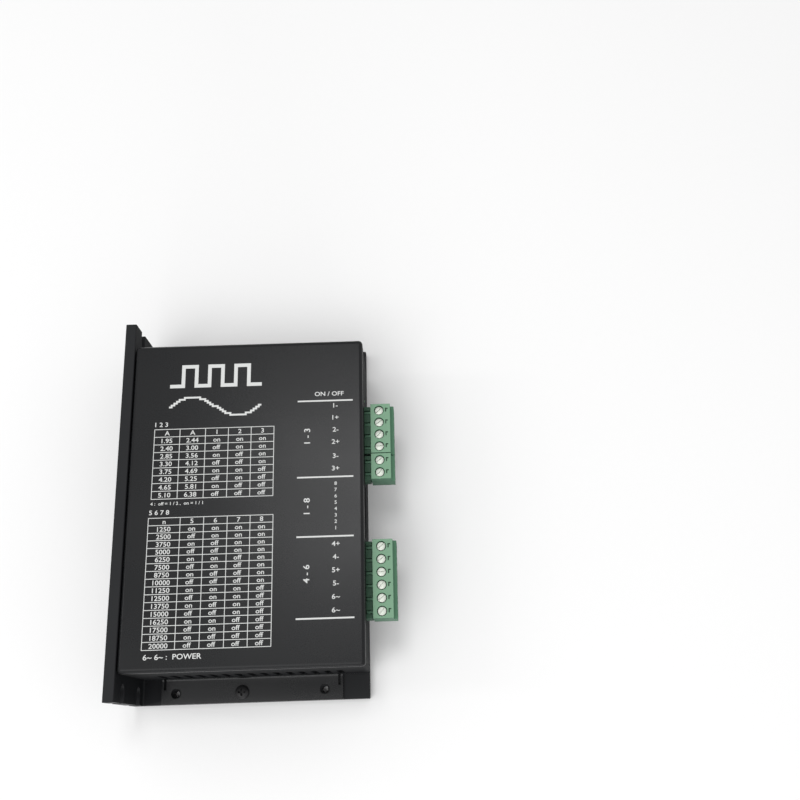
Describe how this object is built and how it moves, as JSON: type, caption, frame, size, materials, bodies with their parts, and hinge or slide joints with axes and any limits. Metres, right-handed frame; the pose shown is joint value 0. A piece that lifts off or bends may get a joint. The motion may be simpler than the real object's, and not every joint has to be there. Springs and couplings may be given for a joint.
{
  "type": "stepper driver module",
  "caption": "Flat stepper motor drive: L-shaped heat sink, vented sheet cover with printed tables, pluggable screw terminals, a bank of slide switches and a status lamp.",
  "frame": {"origin": "centre of the flat back of the heat sink's base plate", "axes": "+Z out of the back through the printed cover, +Y along the long side, +X towards the terminals"},
  "size_m": [0.1107, 0.151, 0.048],
  "materials": {
    "anodised_aluminium": "black anodised, fine extrusion lines",
    "painted_sheet": "black satin paint, white print",
    "solder_mask_board": "green solder mask",
    "ferrite": "dark ferrite",
    "steel_bar": "plated steel",
    "silicone_pad": "grey silicone",
    "lamp_lens": "tinted epoxy",
    "switch_plastic": "moulded",
    "slider_plastic": "moulded",
    "black_epoxy": "moulded epoxy",
    "black_oxide_steel": "black oxide",
    "zinc_steel": "zinc plated",
    "nickel_brass": "nickel plated brass",
    "nickel_clamp": "nickel plated brass",
    "capacitor_sleeve": "shrunk sleeve",
    "green_header": "moulded polyamide",
    "green_plug": "moulded polyamide"
  },
  "bodies": {
    "drive": {"heat_sink": "anodised_aluminium", "cover": "painted_sheet", "cover_screw_near": "black_oxide_steel", "cover_screw_far": "black_oxide_steel", "main_board": "solder_mask_board", "standoff_1": "nickel_brass", "standoff_2": "nickel_brass", "standoff_3": "nickel_brass", "standoff_4": "nickel_brass", "board_screw_1": "zinc_steel", "board_screw_2": "zinc_steel", "board_screw_3": "zinc_steel", "board_screw_4": "zinc_steel", "bridge_rectifier": "black_epoxy", "bulk_capacitor_1": "capacitor_sleeve", "bulk_capacitor_2": "capacitor_sleeve", "storage_inductor": "ferrite", "clamp_bar": "steel_bar", "thermal_pad": "silicone_pad", "status_lamp": "lamp_lens", "switch_housing": "switch_plastic", "signal_a_header": "green_header", "signal_b_header": "green_header", "power_header": "green_header"},
    "signal_a_plug": {"signal_a_plug": "green_plug"},
    "signal_b_plug": {"signal_b_plug": "green_plug"},
    "power_plug": {"power_plug": "green_plug"},
    "terminal_screw_1": {"terminal_screw_1": "zinc_steel"},
    "wire_clamp_1": {"wire_clamp_1": "nickel_clamp"},
    "terminal_screw_2": {"terminal_screw_2": "zinc_steel"},
    "wire_clamp_2": {"wire_clamp_2": "nickel_clamp"},
    "terminal_screw_3": {"terminal_screw_3": "zinc_steel"},
    "wire_clamp_3": {"wire_clamp_3": "nickel_clamp"},
    "terminal_screw_4": {"terminal_screw_4": "zinc_steel"},
    "wire_clamp_4": {"wire_clamp_4": "nickel_clamp"},
    "terminal_screw_5": {"terminal_screw_5": "zinc_steel"},
    "wire_clamp_5": {"wire_clamp_5": "nickel_clamp"},
    "terminal_screw_6": {"terminal_screw_6": "zinc_steel"},
    "wire_clamp_6": {"wire_clamp_6": "nickel_clamp"},
    "terminal_screw_7": {"terminal_screw_7": "zinc_steel"},
    "wire_clamp_7": {"wire_clamp_7": "nickel_clamp"},
    "terminal_screw_8": {"terminal_screw_8": "zinc_steel"},
    "wire_clamp_8": {"wire_clamp_8": "nickel_clamp"},
    "terminal_screw_9": {"terminal_screw_9": "zinc_steel"},
    "wire_clamp_9": {"wire_clamp_9": "nickel_clamp"},
    "terminal_screw_10": {"terminal_screw_10": "zinc_steel"},
    "wire_clamp_10": {"wire_clamp_10": "nickel_clamp"},
    "terminal_screw_11": {"terminal_screw_11": "zinc_steel"},
    "wire_clamp_11": {"wire_clamp_11": "nickel_clamp"},
    "terminal_screw_12": {"terminal_screw_12": "zinc_steel"},
    "wire_clamp_12": {"wire_clamp_12": "nickel_clamp"},
    "switch_slider_1": {"switch_slider_1": "slider_plastic"},
    "switch_slider_2": {"switch_slider_2": "slider_plastic"},
    "switch_slider_3": {"switch_slider_3": "slider_plastic"},
    "switch_slider_4": {"switch_slider_4": "slider_plastic"},
    "switch_slider_5": {"switch_slider_5": "slider_plastic"},
    "switch_slider_6": {"switch_slider_6": "slider_plastic"},
    "switch_slider_7": {"switch_slider_7": "slider_plastic"},
    "switch_slider_8": {"switch_slider_8": "slider_plastic"}
  },
  "joints": [
    {"name": "signal_a_plug_slide", "type": "slide", "parent": "drive", "child": "signal_a_plug", "axis": [1, 0, 0], "range_m": [0, 0.012]},
    {"name": "signal_b_plug_slide", "type": "slide", "parent": "drive", "child": "signal_b_plug", "axis": [1, 0, 0], "range_m": [0, 0.012]},
    {"name": "power_plug_slide", "type": "slide", "parent": "drive", "child": "power_plug", "axis": [1, 0, 0], "range_m": [0, 0.012]},
    {"name": "terminal_screw_1_turn", "type": "hinge", "parent": "signal_a_plug", "child": "terminal_screw_1", "pos_m": [0.05585, 0.03745, 0.037], "axis": [0, 0, -1], "range_deg": [0, 1800]},
    {"name": "wire_clamp_1_rise", "type": "slide", "parent": "signal_a_plug", "child": "wire_clamp_1", "axis": [0, 0, 1], "range_m": [0, 0.0025]},
    {"name": "terminal_screw_2_turn", "type": "hinge", "parent": "signal_a_plug", "child": "terminal_screw_2", "pos_m": [0.05585, 0.03237, 0.037], "axis": [0, 0, -1], "range_deg": [0, 1800]},
    {"name": "wire_clamp_2_rise", "type": "slide", "parent": "signal_a_plug", "child": "wire_clamp_2", "axis": [0, 0, 1], "range_m": [0, 0.0025]},
    {"name": "terminal_screw_3_turn", "type": "hinge", "parent": "signal_a_plug", "child": "terminal_screw_3", "pos_m": [0.05585, 0.02729, 0.037], "axis": [0, 0, -1], "range_deg": [0, 1800]},
    {"name": "wire_clamp_3_rise", "type": "slide", "parent": "signal_a_plug", "child": "wire_clamp_3", "axis": [0, 0, 1], "range_m": [0, 0.0025]},
    {"name": "terminal_screw_4_turn", "type": "hinge", "parent": "signal_a_plug", "child": "terminal_screw_4", "pos_m": [0.05585, 0.02221, 0.037], "axis": [0, 0, -1], "range_deg": [0, 1800]},
    {"name": "wire_clamp_4_rise", "type": "slide", "parent": "signal_a_plug", "child": "wire_clamp_4", "axis": [0, 0, 1], "range_m": [0, 0.0025]},
    {"name": "terminal_screw_5_turn", "type": "hinge", "parent": "signal_b_plug", "child": "terminal_screw_5", "pos_m": [0.05585, 0.01635, 0.037], "axis": [0, 0, -1], "range_deg": [0, 1800]},
    {"name": "wire_clamp_5_rise", "type": "slide", "parent": "signal_b_plug", "child": "wire_clamp_5", "axis": [0, 0, 1], "range_m": [0, 0.0025]},
    {"name": "terminal_screw_6_turn", "type": "hinge", "parent": "signal_b_plug", "child": "terminal_screw_6", "pos_m": [0.05585, 0.01127, 0.037], "axis": [0, 0, -1], "range_deg": [0, 1800]},
    {"name": "wire_clamp_6_rise", "type": "slide", "parent": "signal_b_plug", "child": "wire_clamp_6", "axis": [0, 0, 1], "range_m": [0, 0.0025]},
    {"name": "terminal_screw_7_turn", "type": "hinge", "parent": "power_plug", "child": "terminal_screw_7", "pos_m": [0.05585, -0.0189, 0.037], "axis": [0, 0, -1], "range_deg": [0, 1800]},
    {"name": "wire_clamp_7_rise", "type": "slide", "parent": "power_plug", "child": "wire_clamp_7", "axis": [0, 0, 1], "range_m": [0, 0.0025]},
    {"name": "terminal_screw_8_turn", "type": "hinge", "parent": "power_plug", "child": "terminal_screw_8", "pos_m": [0.05585, -0.02398, 0.037], "axis": [0, 0, -1], "range_deg": [0, 1800]},
    {"name": "wire_clamp_8_rise", "type": "slide", "parent": "power_plug", "child": "wire_clamp_8", "axis": [0, 0, 1], "range_m": [0, 0.0025]},
    {"name": "terminal_screw_9_turn", "type": "hinge", "parent": "power_plug", "child": "terminal_screw_9", "pos_m": [0.05585, -0.02906, 0.037], "axis": [0, 0, -1], "range_deg": [0, 1800]},
    {"name": "wire_clamp_9_rise", "type": "slide", "parent": "power_plug", "child": "wire_clamp_9", "axis": [0, 0, 1], "range_m": [0, 0.0025]},
    {"name": "terminal_screw_10_turn", "type": "hinge", "parent": "power_plug", "child": "terminal_screw_10", "pos_m": [0.05585, -0.03414, 0.037], "axis": [0, 0, -1], "range_deg": [0, 1800]},
    {"name": "wire_clamp_10_rise", "type": "slide", "parent": "power_plug", "child": "wire_clamp_10", "axis": [0, 0, 1], "range_m": [0, 0.0025]},
    {"name": "terminal_screw_11_turn", "type": "hinge", "parent": "power_plug", "child": "terminal_screw_11", "pos_m": [0.05585, -0.03922, 0.037], "axis": [0, 0, -1], "range_deg": [0, 1800]},
    {"name": "wire_clamp_11_rise", "type": "slide", "parent": "power_plug", "child": "wire_clamp_11", "axis": [0, 0, 1], "range_m": [0, 0.0025]},
    {"name": "terminal_screw_12_turn", "type": "hinge", "parent": "power_plug", "child": "terminal_screw_12", "pos_m": [0.05585, -0.0443, 0.037], "axis": [0, 0, -1], "range_deg": [0, 1800]},
    {"name": "wire_clamp_12_rise", "type": "slide", "parent": "power_plug", "child": "wire_clamp_12", "axis": [0, 0, 1], "range_m": [0, 0.0025]},
    {"name": "switch_slider_1_slide", "type": "slide", "parent": "drive", "child": "switch_slider_1", "axis": [0, 0, 1], "range_m": [0, 0.002]},
    {"name": "switch_slider_2_slide", "type": "slide", "parent": "drive", "child": "switch_slider_2", "axis": [0, 0, 1], "range_m": [0, 0.002]},
    {"name": "switch_slider_3_slide", "type": "slide", "parent": "drive", "child": "switch_slider_3", "axis": [0, 0, 1], "range_m": [0, 0.002]},
    {"name": "switch_slider_4_slide", "type": "slide", "parent": "drive", "child": "switch_slider_4", "axis": [0, 0, 1], "range_m": [0, 0.002]},
    {"name": "switch_slider_5_slide", "type": "slide", "parent": "drive", "child": "switch_slider_5", "axis": [0, 0, 1], "range_m": [0, 0.002]},
    {"name": "switch_slider_6_slide", "type": "slide", "parent": "drive", "child": "switch_slider_6", "axis": [0, 0, 1], "range_m": [0, 0.002]},
    {"name": "switch_slider_7_slide", "type": "slide", "parent": "drive", "child": "switch_slider_7", "axis": [0, 0, 1], "range_m": [0, 0.002]},
    {"name": "switch_slider_8_slide", "type": "slide", "parent": "drive", "child": "switch_slider_8", "axis": [0, 0, 1], "range_m": [0, 0.002]}
  ],
  "couplings": [
    {"joint": "terminal_screw_1_turn", "follows": "wire_clamp_1_rise", "rad_per_m": 12566},
    {"joint": "terminal_screw_2_turn", "follows": "wire_clamp_2_rise", "rad_per_m": 12566},
    {"joint": "terminal_screw_3_turn", "follows": "wire_clamp_3_rise", "rad_per_m": 12566},
    {"joint": "terminal_screw_4_turn", "follows": "wire_clamp_4_rise", "rad_per_m": 12566},
    {"joint": "terminal_screw_5_turn", "follows": "wire_clamp_5_rise", "rad_per_m": 12566},
    {"joint": "terminal_screw_6_turn", "follows": "wire_clamp_6_rise", "rad_per_m": 12566},
    {"joint": "terminal_screw_7_turn", "follows": "wire_clamp_7_rise", "rad_per_m": 12566},
    {"joint": "terminal_screw_8_turn", "follows": "wire_clamp_8_rise", "rad_per_m": 12566},
    {"joint": "terminal_screw_9_turn", "follows": "wire_clamp_9_rise", "rad_per_m": 12566},
    {"joint": "terminal_screw_10_turn", "follows": "wire_clamp_10_rise", "rad_per_m": 12566},
    {"joint": "terminal_screw_11_turn", "follows": "wire_clamp_11_rise", "rad_per_m": 12566},
    {"joint": "terminal_screw_12_turn", "follows": "wire_clamp_12_rise", "rad_per_m": 12566}
  ]
}
